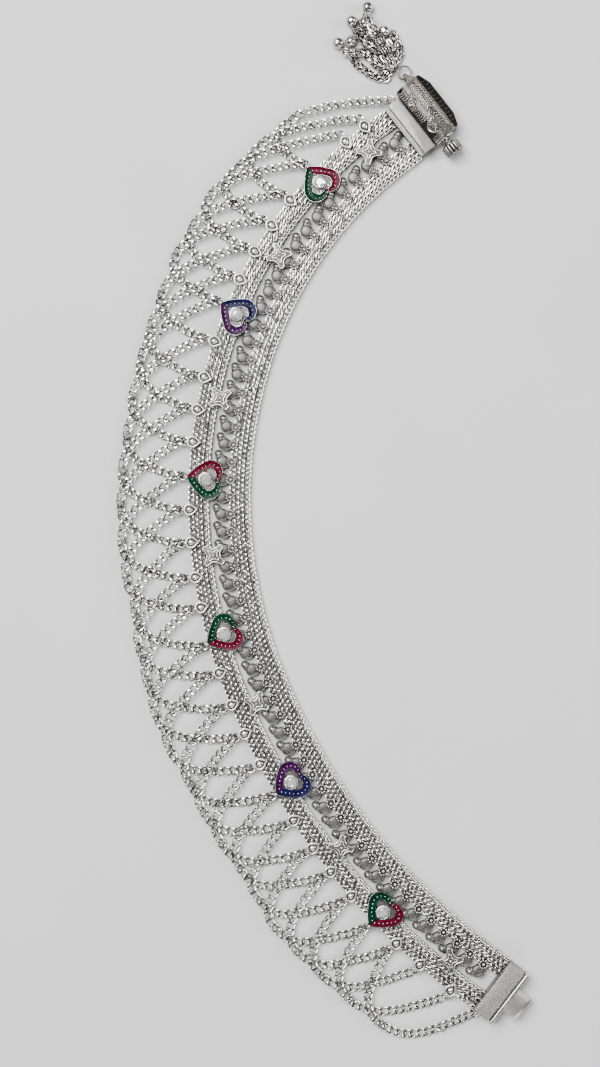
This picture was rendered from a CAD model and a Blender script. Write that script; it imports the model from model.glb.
"""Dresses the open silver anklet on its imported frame.

Sizes are in millimetres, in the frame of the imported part: the origin is the middle of
the space for the ankle, on the surface, +X away from the fringe, +Y towards the head
cap and +Z up. Each sub-assembly is a class that builds and dresses its own pieces.
"""

import logging
import math
from dataclasses import dataclass, field
from enum import Enum
from typing import Callable, Sequence

import bmesh
import bpy
import numpy as np
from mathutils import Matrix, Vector


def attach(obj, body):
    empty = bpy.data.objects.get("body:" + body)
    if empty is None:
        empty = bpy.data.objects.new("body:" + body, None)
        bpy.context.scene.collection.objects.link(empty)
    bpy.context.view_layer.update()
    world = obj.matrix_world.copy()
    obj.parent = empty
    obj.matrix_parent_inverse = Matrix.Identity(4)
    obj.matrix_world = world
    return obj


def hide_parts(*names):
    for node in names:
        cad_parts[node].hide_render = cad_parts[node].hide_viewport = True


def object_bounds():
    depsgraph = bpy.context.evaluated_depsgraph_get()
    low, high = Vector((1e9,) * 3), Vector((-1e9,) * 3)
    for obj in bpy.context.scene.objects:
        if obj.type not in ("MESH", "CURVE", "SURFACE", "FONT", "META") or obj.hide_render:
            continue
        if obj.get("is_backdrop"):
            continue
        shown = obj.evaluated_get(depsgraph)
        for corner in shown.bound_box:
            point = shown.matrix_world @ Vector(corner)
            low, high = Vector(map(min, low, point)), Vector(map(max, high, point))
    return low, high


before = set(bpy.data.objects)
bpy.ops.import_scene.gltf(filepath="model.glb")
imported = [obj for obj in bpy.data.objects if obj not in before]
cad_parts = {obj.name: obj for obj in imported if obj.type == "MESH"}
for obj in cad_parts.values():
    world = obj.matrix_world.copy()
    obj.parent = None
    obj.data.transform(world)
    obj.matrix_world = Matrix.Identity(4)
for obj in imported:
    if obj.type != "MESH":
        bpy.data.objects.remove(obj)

CAD_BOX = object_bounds()
LOG = logging.getLogger("anklet")
MM = 0.001
TAU = 2 * math.pi
UP = np.array([0.0, 0.0, 1.0])
MIRROR = np.array([1, -1])
# Range that most of a noise texture's values lie in
NOISE_SPAN = (0.3, 0.7)
# Scale at which a wave texture has one line to the unit
WAVE_UNIT = TAU / 20
# Radius of an ear's loop, and half its wire's thickness in the loop's plane and across it
EAR_R = 0.45
EAR_WIRE = (0.17, 0.24)

Pair = tuple[float, float]
Triple = tuple[float, float, float]
Socket = bpy.types.NodeSocket


class Body(Enum):
    """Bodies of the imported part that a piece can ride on."""

    ANKLET = "anklet"
    SHAFT = "shaft"
    KNOB = "knob"


class Slot(Enum):
    """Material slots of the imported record."""

    SILVER = "silver"
    CHAIN = "chain_silver"
    DARK = "dark_silver"
    RED = "enamel_red"
    GREEN = "enamel_green"
    NAVY = "enamel_navy"
    PURPLE = "enamel_purple"
    STONE = "stone"


# Forms


@dataclass
class Form:
    """Points in millimetres, the faces between them, and where each lies in a pattern.

    faces holds one array of corner numbers for each count of corners.
    """

    points: np.ndarray
    faces: list[np.ndarray]
    pattern: np.ndarray | None = None

    def spread(self, places: np.ndarray | Sequence[np.ndarray]) -> "Form":
        """Copies the form to one or several places.

        Args:
            places: One matrix of shape (4, 4), or several.

        Returns:
            All the copies as one form.
        """
        places = np.reshape(places, (-1, 4, 4))
        count, size = len(places), len(self.points)
        turned = np.einsum("kij,nj->kni", places[:, :3, :3], self.points)
        points = (turned + places[:, None, :3, 3]).reshape(-1, 3)
        steps = (np.arange(count) * size)[:, None, None]
        faces = [(f[None] + steps).reshape(-1, f.shape[1]) for f in self.faces]
        pattern = None if self.pattern is None else np.tile(self.pattern, (count, 1))
        return Form(points, faces, pattern)

    def moved(self, x: float = 0, y: float = 0, z: float = 0) -> "Form":
        """Returns the form moved by x, y and z."""
        return Form(self.points + np.array([x, y, z]), self.faces, self.pattern)

    def patterned(self, turn: float = 0) -> "Form":
        """Keeps the form's own points as its pattern.

        Args:
            turn: Turn of the pattern in plan, in degrees.

        Returns:
            The form with its pattern.
        """
        c, s = math.cos(math.radians(turn)), math.sin(math.radians(turn))
        x, y, z = self.points.T
        return Form(self.points, self.faces, np.column_stack([c * x + s * y, c * y - s * x, z]))

    def risen(self, rise: float | np.ndarray) -> "Form":
        """Keeps the rise of a relief as the form's pattern.

        Args:
            rise: The rise at all its points, or at each.

        Returns:
            The form with its pattern.
        """
        pattern = np.zeros(self.points.shape)
        pattern[:, 0] = rise
        return Form(self.points, self.faces, pattern)

    def crowned(self) -> "Form":
        """Makes the form a relief of its own, from 0 at middle height to 1 at its top.

        Returns:
            The form with its pattern.
        """
        z = self.points[:, 2]
        middle = (z.max() + z.min()) / 2
        return self.risen(np.maximum(z - middle, 0) / (z.max() - middle))


def join(forms: Sequence[Form]) -> Form:
    """Joins forms into one.

    Args:
        forms: The forms, of which some may have no pattern.

    Returns:
        One form with all their points and faces.
    """
    faces, start = [], 0
    for form in forms:
        faces += [f + start for f in form.faces]
        start += len(form.points)
    pattern = None
    if any(form.pattern is not None for form in forms):
        blank = [np.zeros_like(f.points) if f.pattern is None else f.pattern for f in forms]
        pattern = np.concatenate(blank)
    return Form(np.concatenate([form.points for form in forms]), faces, pattern)


def skin(
    rings: Sequence[np.ndarray] | np.ndarray,
    closed: bool = True,
    loop: bool = False,
    start_cap: bool = False,
    end_cap: bool = False,
) -> Form:
    """Stretches a skin over rings of points.

    Args:
        rings: Points of shape (rings, points in a ring, 3).
        closed: Whether each ring joins its own start.
        loop: Whether the last ring joins the first.
        start_cap: Whether the first ring is filled.
        end_cap: Whether the last ring is filled.

    Returns:
        The skin, facing outward where the rings turn left as they rise.
    """
    rings = np.asarray(rings)
    count, size = rings.shape[:2]
    numbers = np.arange(count * size).reshape(count, size)
    rows = np.vstack([numbers, numbers[:1]]) if loop else numbers
    grid = np.hstack([rows, rows[:, :1]]) if closed else rows
    quads = [grid[:-1, :-1], grid[:-1, 1:], grid[1:, 1:], grid[1:, :-1]]
    faces = [np.stack(quads, -1).reshape(-1, 4)]
    if start_cap:
        faces.append(numbers[:1, ::-1])
    if end_cap:
        faces.append(numbers[-1:])
    return Form(rings.reshape(-1, 3), faces)


def unit(vectors: np.ndarray) -> np.ndarray:
    """Returns the vectors at length 1."""
    return vectors / np.maximum(np.linalg.norm(vectors, axis=-1, keepdims=True), 1e-9)


def across_and_above(ways: np.ndarray) -> tuple[np.ndarray, np.ndarray]:
    """Returns the level direction across each way, and the direction above it."""
    across = unit(np.cross(UP, ways))
    return across, np.cross(ways, across)


def normals(line: np.ndarray) -> np.ndarray:
    """Returns the directions at right angles to a flat line, on its left."""
    ways = unit(np.gradient(line, axis=0))
    return np.column_stack([-ways[:, 1], ways[:, 0]])


def turns_of(count: int, shift: float = 0) -> np.ndarray:
    """Returns angles evenly round a circle, all moved on by part of a step."""
    return (np.arange(count) + shift) * TAU / count


def ways_at(turns: np.ndarray) -> np.ndarray:
    """Returns the level directions at angles in radians."""
    return np.column_stack([np.cos(turns), np.sin(turns)])


def at_height(points: np.ndarray, z: float | np.ndarray) -> np.ndarray:
    """Returns points of a plan at one height, or each at its own."""
    return np.column_stack([points, np.broadcast_to(z, len(points))])


def ring(r: float | np.ndarray, turns: np.ndarray, z: float) -> np.ndarray:
    """Returns the points at radius r and height z round the Z axis."""
    return at_height((r * ways_at(turns).T).T, z)


def ovals(
    path: np.ndarray,
    first: np.ndarray,
    second: np.ndarray,
    reach: tuple[float | np.ndarray, float | np.ndarray],
    sides: int,
) -> np.ndarray:
    """Draws an oval round each point of a path.

    Args:
        path: The middles of the ovals.
        first: Direction of each one's first axis.
        second: Direction of each one's second axis.
        reach: Half the size along the first axis, and along the second.
        sides: Points of each oval.

    Returns:
        The ovals, of shape (points in the path, sides, 3).
    """
    turns = turns_of(sides)
    a, b = (np.broadcast_to(half, len(path))[:, None] for half in reach)
    return (
        path[:, None]
        + first[:, None] * (a * np.cos(turns))[..., None]
        + second[:, None] * (b * np.sin(turns))[..., None]
    )


def tube(
    path: np.ndarray, width: float | np.ndarray, height: float, sides: int, loop: bool = False
) -> Form:
    """Draws a wire of oval section along a path.

    Args:
        path: Points of the wire's middle.
        width: Width of the wire, across the path and level.
        height: Height of the wire.
        sides: Corners of its section.
        loop: Whether the path is a closed loop.

    Returns:
        The wire, with filled ends if it isn't a loop.
    """
    if loop:
        ways = np.roll(path, -1, 0) - np.roll(path, 1, 0)
    else:
        ways = np.gradient(path, axis=0)
    across, above = across_and_above(unit(ways))
    rings = ovals(path, across, above, (np.asarray(width) / 2, height / 2), sides)
    return skin(rings, loop=loop, start_cap=not loop, end_cap=not loop)


def lathe(profile: Sequence[Pair], steps: int, caps: bool = True) -> Form:
    """Turns a profile round the Z axis.

    Args:
        profile: Radius and height of each ring, from the bottom up.
        steps: Points in a ring.
        caps: Whether both ends are filled.

    Returns:
        The turned form.
    """
    rings = [ring(r, turns_of(steps), z) for r, z in profile]
    return skin(rings, start_cap=caps, end_cap=caps)


def bead(radius: float, steps: int, rings: int, squash: float = 1) -> Form:
    """Makes a small ball round the origin.

    Args:
        radius: Its radius.
        steps: Points round it.
        rings: Rings from pole to pole.
        squash: Its height over its width.

    Returns:
        The ball.
    """
    tilts = np.linspace(-0.44 * math.pi, 0.44 * math.pi, rings)
    return lathe([(radius * math.cos(t), radius * squash * math.sin(t)) for t in tilts], steps)


def bead_ring(form: Form, count: int, r: float, z: float, shift: float = 0) -> Form:
    """Sets copies of a form in a ring round the Z axis.

    Args:
        form: The form.
        count: How many copies there are.
        r: Radius of the ring.
        z: Its height.
        shift: Part of a step by which it is turned.

    Returns:
        The copies as one form.
    """
    return join([form.moved(*p) for p in ring(r, turns_of(count, shift), z)])


def stack(
    outline: Callable[[float], np.ndarray], levels: Sequence[Pair], start_cap: bool = True
) -> Form:
    """Builds a form from level outlines, one over another, and fills the last.

    Args:
        outline: Gives the outline of a size, with as many points for each size.
        levels: Size and height of each level, from the bottom up.
        start_cap: Whether the first is filled too.

    Returns:
        The form.
    """
    rings = [at_height(outline(size), z) for size, z in levels]
    return skin(rings, start_cap=start_cap, end_cap=True)


def smooth_loop(corners: Sequence[Pair], count: int) -> np.ndarray:
    """Draws a smooth closed curve through points.

    Args:
        corners: The points it passes.
        count: How many points the curve gets.

    Returns:
        The curve, of shape (count, 2).
    """
    p = np.array(corners, float)
    n = len(p)
    t = np.arange(count) * n / count
    k = np.floor(t).astype(int)
    f = (t - k)[:, None]
    a, b, c, d = (p[(k + shift) % n] for shift in (-1, 0, 1, 2))
    bends = 2 * a - 5 * b + 4 * c - d, 3 * b - a - 3 * c + d
    return 0.5 * (2 * b + (c - a) * f + bends[0] * f**2 + bends[1] * f**3)


def rounded(width: float, length: float, radius: float) -> np.ndarray:
    """Draws a rectangle round the origin with rounded corners.

    Args:
        width: Its size along X.
        length: Its size along Y.
        radius: Radius of its corners.

    Returns:
        The outline, with five points in each corner.
    """
    turns = np.linspace(0, math.pi / 2, 5)
    x, y = width / 2 - radius, length / 2 - radius
    corners = np.array([(x, y), (-x, y), (-x, -y), (x, -y)])
    arcs = [at + radius * ways_at(turns + k * math.pi / 2) for k, at in enumerate(corners)]
    return np.concatenate(arcs)


def block(x: Pair, y: Pair, z: Pair, soft: float) -> Form:
    """Makes a block with softened edges.

    Args:
        x: Its lowest and highest X.
        y: Its lowest and highest Y.
        z: Its lowest and highest Z.
        soft: Radius of its edges.

    Returns:
        The block.
    """

    def outline(inset: float) -> np.ndarray:
        """Returns the block's outline, drawn in by inset."""
        return rounded(x[1] - x[0] - 2 * inset, y[1] - y[0] - 2 * inset, 1.6 * soft - inset)

    turns = np.linspace(0, math.pi / 2, 4)
    low = [(soft * (1 - math.sin(t)), z[0] + soft * (1 - math.cos(t))) for t in turns]
    high = [(soft * (1 - math.cos(t)), z[1] - soft * (1 - math.sin(t))) for t in turns]
    return stack(outline, low + high).moved((x[0] + x[1]) / 2, (y[0] + y[1]) / 2)


def hull_of(points: np.ndarray) -> Form:
    """Finds the convex hull of points.

    Args:
        points: The points.

    Returns:
        The hull, with its flat facets whole.
    """
    shell = bmesh.new()
    for p in points:
        shell.verts.new(p)
    bmesh.ops.convex_hull(shell, input=shell.verts)
    bmesh.ops.dissolve_limit(
        shell, angle_limit=0.01, verts=shell.verts[:], edges=shell.edges[:]
    )
    shell.verts.index_update()
    found = np.array([v.co[:] for v in shell.verts])
    by_size: dict[int, list[list[int]]] = {}
    for face in shell.faces:
        by_size.setdefault(len(face.verts), []).append([v.index for v in face.verts])
    shell.free()
    return Form(found, [np.array(faces) for faces in by_size.values()])


def ear_loop(z: float, x: float = 0) -> Form:
    """Makes a small upright loop that chain ends are linked through.

    Args:
        z: Height of its middle.
        x: X of its middle.

    Returns:
        The loop.
    """
    outward = np.insert(ways_at(turns_of(16)), 1, 0, axis=1)
    across = np.tile([0.0, -1.0, 0.0], (len(outward), 1))
    path = np.array([x, 0, z]) + EAR_R * outward
    return skin(ovals(path, outward, across, EAR_WIRE, 8), loop=True)


def place(
    origin: Sequence[float], turn: float = 0, grow: float = 1, tilt: float = 0
) -> np.ndarray:
    """Works out the matrix of a place.

    Args:
        origin: Where it is.
        turn: Its turn about Z in degrees.
        grow: Its scale.
        tilt: Its turn about its own X, before the turn about Z, in degrees.

    Returns:
        A matrix of shape (4, 4).
    """
    c, s = math.cos(math.radians(turn)), math.sin(math.radians(turn))
    ct, st = math.cos(math.radians(tilt)), math.sin(math.radians(tilt))
    matrix = np.eye(4)
    matrix[:3, :3] = grow * np.array([[c, -s * ct, s * st], [s, c * ct, -c * st], [0, st, ct]])
    matrix[:3, 3] = origin
    return matrix


def along_path(path: np.ndarray, pitch: float = 1, count: int = 0) -> tuple[np.ndarray, np.ndarray]:
    """Spaces links or beads evenly along a path.

    Args:
        path: Points of the path, close together.
        pitch: About how far apart they are.
        count: How many there are, or 0 to go by the pitch.

    Returns:
        The middles of the links and the way that each points.
    """
    steps = np.linalg.norm(np.diff(path, axis=0), axis=1)
    reach = np.concatenate([[0], np.cumsum(steps)])
    count = count or max(2, round(reach[-1] / pitch))
    gap = reach[-1] / count
    at = (np.arange(count) + 0.5) * gap
    before, middles, after = (
        np.column_stack([np.interp(s, reach, c) for c in path.T])
        for s in (at - gap / 2, at, at + gap / 2)
    )
    return middles, unit(after - before)


def link_places(middles: np.ndarray, ways: np.ndarray, rolls: np.ndarray) -> np.ndarray:
    """Works out the places of links.

    Args:
        middles: Where the links are.
        ways: The way that each points.
        rolls: How far each is rolled about its way, in radians.

    Returns:
        Matrices of shape (links, 4, 4).
    """
    across, above = across_and_above(ways)
    c, s = np.cos(rolls)[:, None], np.sin(rolls)[:, None]
    places = np.tile(np.eye(4), (len(middles), 1, 1))
    places[:, :3, 0] = ways
    places[:, :3, 1] = across * c + above * s
    places[:, :3, 2] = above * c - across * s
    places[:, :3, 3] = middles
    return places


@dataclass(frozen=True)
class Link:
    """One wire link, lying along X with its loop level and its limbs twisted.

    half_length and half_width go to the middle of the wire, and twist is how far the
    wire rises and falls by turns. filed is the height at which its faces are filed flat.
    """

    half_length: float
    half_width: float
    twist: float
    wire: float
    wire_height: float
    filed: float = math.inf
    steps: int = 18
    sides: int = 8

    def form(self) -> Form:
        """Draws the link.

        Returns:
            The link's form.
        """
        t = turns_of(self.steps)
        plan = ways_at(t) * (self.half_length, self.half_width)
        path = at_height(plan, self.twist * np.sin(2 * t))
        form = tube(path, self.wire, self.wire_height, self.sides, loop=True)
        form.points[:, 2] = np.clip(form.points[:, 2], -self.filed, self.filed)
        return form


# Finishes


class Recipe:
    """Builds the nodes of one material."""

    def __init__(self, name: str) -> None:
        """Starts a material with an empty surface.

        Args:
            name: The material's name.
        """
        self.material = bpy.data.materials.new(name)
        self.material.use_nodes = True
        self.tree = self.material.node_tree
        self.where = self.node("TexCoord").outputs["Object"]

    def fill(self, node: bpy.types.Node, **settings: object) -> bpy.types.Node:
        """Sets a node's properties, and sets or links its sockets.

        Args:
            node: The node.
            **settings: Properties, or sockets whose names have _ for a space. A socket
                gets a value, or the socket that it is linked from.

        Returns:
            The node.
        """
        for name, value in settings.items():
            if hasattr(node, name):
                setattr(node, name, value)
            elif isinstance(value, Socket):
                self.tree.links.new(value, node.inputs[name.replace("_", " ")])
            else:
                node.inputs[name.replace("_", " ")].default_value = value
        return node

    def node(self, kind: str, **settings: object) -> bpy.types.Node:
        """Adds a shader node of a kind, with settings as fill takes them."""
        return self.fill(self.tree.nodes.new(f"ShaderNode{kind}"), **settings)

    def surface(self, **settings: object) -> None:
        """Sets or links sockets of the surface, as fill takes them."""
        self.fill(self.tree.nodes["Principled BSDF"], **settings)

    def noise(self, size: float, detail: float) -> Socket:
        """Returns noise whose lumps are about size millimetres across."""
        node = self.node("TexNoise", Vector=self.where, Scale=1 / (size * MM), Detail=detail)
        return node.outputs["Fac"]

    def spans(self, source: Socket, reach: Pair, gives: Pair = (0.0, 1.0)) -> Socket:
        """Carries a value from one range to another.

        Args:
            source: The value.
            reach: The range that it comes from.
            gives: The range that it goes to.

        Returns:
            The new value.
        """
        names = ("From_Min", "From_Max", "To_Min", "To_Max")
        ends = dict(zip(names, reach + gives))
        return self.node("MapRange", clamp=True, Value=source, **ends).outputs["Result"]

    def reckon(self, way: str, *values: Socket) -> Socket:
        """Reckons with two values.

        Args:
            way: What is done with them, such as ADD or MULTIPLY.
            *values: The values.

        Returns:
            The result.
        """
        node = self.node("Math", operation=way)
        for value, socket in zip(values, node.inputs):
            self.tree.links.new(value, socket)
        return node.outputs[0]

    def mix(self, amount: Socket, low: Sequence[float], high: Sequence[float]) -> Socket:
        """Mixes two colours.

        Args:
            amount: How much of the second there is.
            low: The first colour.
            high: The second colour.

        Returns:
            The mixed colour.
        """
        node = self.node("Mix", data_type="RGBA", Factor=amount)
        # The colours' sockets share their names with others
        for number, colour in ((6, low), (7, high)):
            node.inputs[number].default_value = (*colour, 1)
        return node.outputs[2]

    def kept(self) -> Socket:
        """Returns the pattern kept with the form."""
        return self.node("Attribute", attribute_name="pattern").outputs["Vector"]

    def part(self, vector: Socket, axis: str) -> Socket:
        """Returns a vector's part along an axis."""
        return self.node("SeparateXYZ", Vector=vector).outputs[axis]

    def bump(self, height: Socket, depth: float) -> None:
        """Gives the surface a relief depth millimetres deep."""
        node = self.node("Bump", Strength=1.0, Distance=depth * MM, Height=height)
        self.surface(Normal=node.outputs["Normal"])


@dataclass(frozen=True)
class Finish:
    """A finish and its material's name."""

    name: str

    def dress(self, recipe: Recipe) -> None:
        """Dresses the surface of a material, as each kind of finish does for itself."""
        raise NotImplementedError

    def material(self) -> bpy.types.Material:
        """Builds the finish.

        Returns:
            The finish as a material.
        """
        recipe = Recipe(self.name)
        self.dress(recipe)
        return recipe.material


class Ground(Enum):
    """What a silver surface is worked with."""

    PLAIN = "plain"
    GRID = "grid"
    HATCH = "hatch"


@dataclass(frozen=True)
class Silver(Finish):
    """Silver that is bright where it is rubbed and dark in its hollows and flanks.

    tarnish is the colour of the hollows, reach how far they are felt, flank how much of
    the brightness a steep side keeps, and grain the size of the fine unevenness. cloud
    and mottle are the sizes of the patches in its colour and in its gloss. line_gap and
    line_depth are the spacing and the depth of worked lines, line_dark how much of the
    brightness they keep, and grid_turn the turn of a grid in degrees. raised is the rise
    of a relief, kept as the form's pattern, at which it starts to be bright and is fully
    bright.
    """

    bright: Triple = (0.86, 0.85, 0.82)
    tarnish: Triple = (0.035, 0.034, 0.032)
    rough: Pair = (0.16, 0.3)
    reach: float = 0.8
    hollows: Pair = (0.4, 0.95)
    flank: float = 0.3
    grain: float = 0.35
    grain_depth: float = 0.012
    cloud: float = 4.5
    mottle: float = 1.1
    ground: Ground = Ground.PLAIN
    line_gap: float = 0.5
    line_depth: float = 0.06
    line_dark: float = 0.3
    grid_turn: float = 52
    raised: Pair | None = None

    def worked(self, recipe: Recipe) -> Socket:
        """Draws the lines that the surface is worked with.

        Args:
            recipe: The material.

        Returns:
            The height of the pattern, from 0 in its lines to 1 between them.
        """
        if self.ground is Ground.GRID:
            turn = (0, 0, math.radians(self.grid_turn))
            turned = recipe.node("Mapping", Rotation=turn, Vector=recipe.where)
            where = turned.outputs["Vector"]
            scale, axes = WAVE_UNIT / (self.line_gap * MM), ("X", "Y")
        else:
            where, scale, axes = recipe.kept(), WAVE_UNIT / self.line_gap, ("X",)
        waves = []
        for axis in axes:
            wave = recipe.node(
                "TexWave", bands_direction=axis, Vector=where, Scale=scale, Distortion=0.0
            )
            waves.append(recipe.spans(wave.outputs["Fac"], (0.05, 0.35)))
        return recipe.reckon("MULTIPLY", waves[0], waves[-1])

    def dress(self, recipe: Recipe) -> None:
        """Dresses the surface of a material.

        Args:
            recipe: The material.
        """
        occlusion = recipe.node("AmbientOcclusion", samples=6, Distance=self.reach * MM)
        open_part = recipe.spans(occlusion.outputs["AO"], self.hollows)
        upward = recipe.part(recipe.node("NewGeometry").outputs["Normal"], "Z")
        # Shares of the brightness that a place keeps, which are multiplied
        shares = [
            open_part,
            recipe.spans(recipe.noise(self.cloud, 4), NOISE_SPAN, (0.8, 1.0)),
            recipe.spans(upward, (-0.1, 0.6), (self.flank, 1.0)),
        ]
        if self.raised:
            shares.append(recipe.spans(recipe.part(recipe.kept(), "X"), self.raised, (0.05, 1.0)))
        height, depth = recipe.noise(self.grain, 3), self.grain_depth
        if self.ground is not Ground.PLAIN:
            lines, depth = self.worked(recipe), self.line_depth
            shares.append(recipe.spans(lines, (0, 1), (self.line_dark, 1.0)))
            height = recipe.reckon("ADD", recipe.spans(height, (0, 1), (0, 0.15)), lines)
        shown = shares[0]
        for share in shares[1:]:
            shown = recipe.reckon("MULTIPLY", shown, share)
        mottle = recipe.spans(recipe.noise(self.mottle, 3), NOISE_SPAN, self.rough)
        dull = recipe.spans(open_part, (0.0, 1.0), (0.25, 0.0))
        recipe.surface(
            Metallic=1.0,
            Base_Color=recipe.mix(shown, self.tarnish, self.bright),
            Roughness=recipe.reckon("ADD", mottle, dull),
        )
        recipe.bump(height, depth)


@dataclass(frozen=True)
class Enamel(Finish):
    """Deep glassy enamel with faint clouds in it."""

    deep: Triple
    lit: Triple

    def dress(self, recipe: Recipe) -> None:
        """Dresses the surface of a material.

        Args:
            recipe: The material.
        """
        clouds = recipe.spans(recipe.noise(0.9, 4), (0.35, 0.7))
        recipe.surface(
            Base_Color=recipe.mix(clouds, self.deep, self.lit),
            Roughness=recipe.spans(recipe.noise(0.5, 2), NOISE_SPAN, (0.12, 0.24)),
            Specular_IOR_Level=0.05,
            Coat_Weight=0.03,
            Coat_Roughness=0.05,
        )
        recipe.bump(recipe.noise(0.6, 2), 0.02)


@dataclass(frozen=True)
class CutStone(Finish):
    """Clear cut crystal whose facets throw back more light or less."""

    index: float = 2.15

    def dress(self, recipe: Recipe) -> None:
        """Dresses the surface of a material.

        Args:
            recipe: The material.
        """
        facet = recipe.node("VectorMath", operation="SNAP")
        normal = recipe.node("NewGeometry").outputs["True Normal"]
        recipe.tree.links.new(normal, facet.inputs[0])
        facet.inputs[1].default_value = (0.04, 0.04, 0.04)
        glint = recipe.node("TexWhiteNoise", Vector=facet.outputs["Vector"]).outputs["Value"]
        recipe.surface(
            Transmission_Weight=0.3,
            IOR=self.index,
            Metallic=0.25,
            Roughness=recipe.spans(recipe.noise(1.5, 2), NOISE_SPAN, (0.0, 0.03)),
            Base_Color=recipe.mix(glint, (0.4, 0.41, 0.42), (1.0, 1.0, 1.0)),
        )


@dataclass(frozen=True)
class Paper(Finish):
    """Pale matt floor with a barely seen tooth."""

    tone: float = 0.66

    def dress(self, recipe: Recipe) -> None:
        """Dresses the surface of a material.

        Args:
            recipe: The material.
        """
        tooth = recipe.spans(recipe.noise(40, 2), NOISE_SPAN)
        low, high = self.tone - 0.01, self.tone + 0.01
        recipe.surface(Roughness=0.9, Base_Color=recipe.mix(tooth, (low,) * 3, (high,) * 3))


CHAIN_SILVER = Silver("chain silver", rough=(0.12, 0.24), hollows=(0.45, 0.95))
WEAVE_SILVER = Silver("woven silver", rough=(0.2, 0.32), reach=0.9, hollows=(0.35, 0.85))
CAST_SILVER = Silver("cast silver", flank=0.35)
HATCHED_SILVER = Silver(
    "hatched silver", bright=(0.23, 0.225, 0.22), rough=(0.38, 0.48), hollows=(0.2, 0.8),
    ground=Ground.HATCH, line_gap=0.19, line_depth=0.03, line_dark=0.35,
)  # fmt: skip
SATIN_SILVER = Silver(
    "satin silver", bright=(0.5, 0.49, 0.48), rough=(0.42, 0.52), hollows=(0.1, 0.6),
    flank=0.5, grain=0.18, ground=Ground.GRID, line_gap=0.36, line_depth=0.03, line_dark=0.5,
)  # fmt: skip
SMOOTH_SILVER = Silver(
    "smooth silver", rough=(0.24, 0.36), hollows=(0.1, 0.7), flank=0.5, grain=0.5
)
CARVED_SILVER = Silver(
    "carved silver", bright=(0.7, 0.67, 0.61), tarnish=(0.06, 0.056, 0.052), rough=(0.24, 0.38),
    reach=0.6, hollows=(0.35, 0.85), flank=0.6, grain_depth=0.02, raised=(0.03, 0.19),
)  # fmt: skip
RIM_SILVER = Silver(
    "rim silver", bright=(0.92, 0.91, 0.89), rough=(0.3, 0.42), hollows=(0.3, 0.8), flank=0.6
)
GRAIN_SILVER = Silver(
    "granulated silver", bright=(0.95, 0.94, 0.92), rough=(0.3, 0.4), hollows=(0.05, 0.5),
    flank=0.8, raised=(0.3, 0.8),
)  # fmt: skip
KNURLED_SILVER = Silver(
    "knurled silver", bright=(0.42, 0.41, 0.4), rough=(0.22, 0.34), raised=(0.12, 0.38)
)
TONGUE_SILVER = Silver(
    "tongue silver", bright=(0.6, 0.59, 0.55), rough=(0.38, 0.43), hollows=(0.1, 0.7),
    flank=0.5, grain_depth=0.003,
)  # fmt: skip
STEEL_WIRE = Silver("ring wire", bright=(0.16, 0.155, 0.15), rough=(0.2, 0.3))
ENAMELS = {
    Slot.RED: Enamel("red enamel", (0.04, 0.001, 0.007), (0.11, 0.004, 0.02)),
    Slot.GREEN: Enamel("green enamel", (0.0008, 0.012, 0.007), (0.002, 0.04, 0.022)),
    Slot.NAVY: Enamel("navy enamel", (0.003, 0.003, 0.02), (0.01, 0.01, 0.06)),
    Slot.PURPLE: Enamel("purple enamel", (0.016, 0.0015, 0.022), (0.05, 0.005, 0.06)),
}


def make_piece(
    name: str,
    form: Form,
    finish: Finish,
    node: str | None,
    slot: Slot = Slot.SILVER,
    body: Body = Body.ANKLET,
    crease: float = 40,
) -> None:
    """Makes one piece of the anklet from its form.

    Args:
        name: The piece's name.
        form: Its form in millimetres.
        finish: What it is finished with.
        node: The node of the part that it stands for, if there is one.
        slot: The record's slot for that finish.
        body: The body that it rides on.
        crease: Angle in degrees past which an edge stays sharp.
    """
    mesh = bpy.data.meshes.new(name)
    mesh.vertices.add(len(form.points))
    mesh.vertices.foreach_set("co", (form.points * MM).ravel())
    corners = np.concatenate([f.ravel() for f in form.faces]).astype(np.int32)
    sizes = np.concatenate([np.full(len(f), f.shape[1]) for f in form.faces]).astype(np.int32)
    mesh.loops.add(len(corners))
    mesh.loops.foreach_set("vertex_index", corners)
    mesh.polygons.add(len(sizes))
    mesh.polygons.foreach_set("loop_start", np.concatenate([[0], np.cumsum(sizes)[:-1]]))
    mesh.update(calc_edges=True)
    if form.pattern is not None:
        pattern = mesh.attributes.new("pattern", "FLOAT_VECTOR", "POINT")
        pattern.data.foreach_set("vector", form.pattern.astype(np.float32).ravel())
    mesh.shade_smooth()
    mesh.set_sharp_from_angle(angle=math.radians(crease))
    mesh.materials.append(finish.material())
    piece = bpy.data.objects.new(name, mesh)
    bpy.context.scene.collection.objects.link(piece)
    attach(piece, body.value)
    if node:
        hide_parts(node)
    LOG.info("%s: %d triangles", name, int((sizes - 2).sum()))


# Layout


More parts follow.
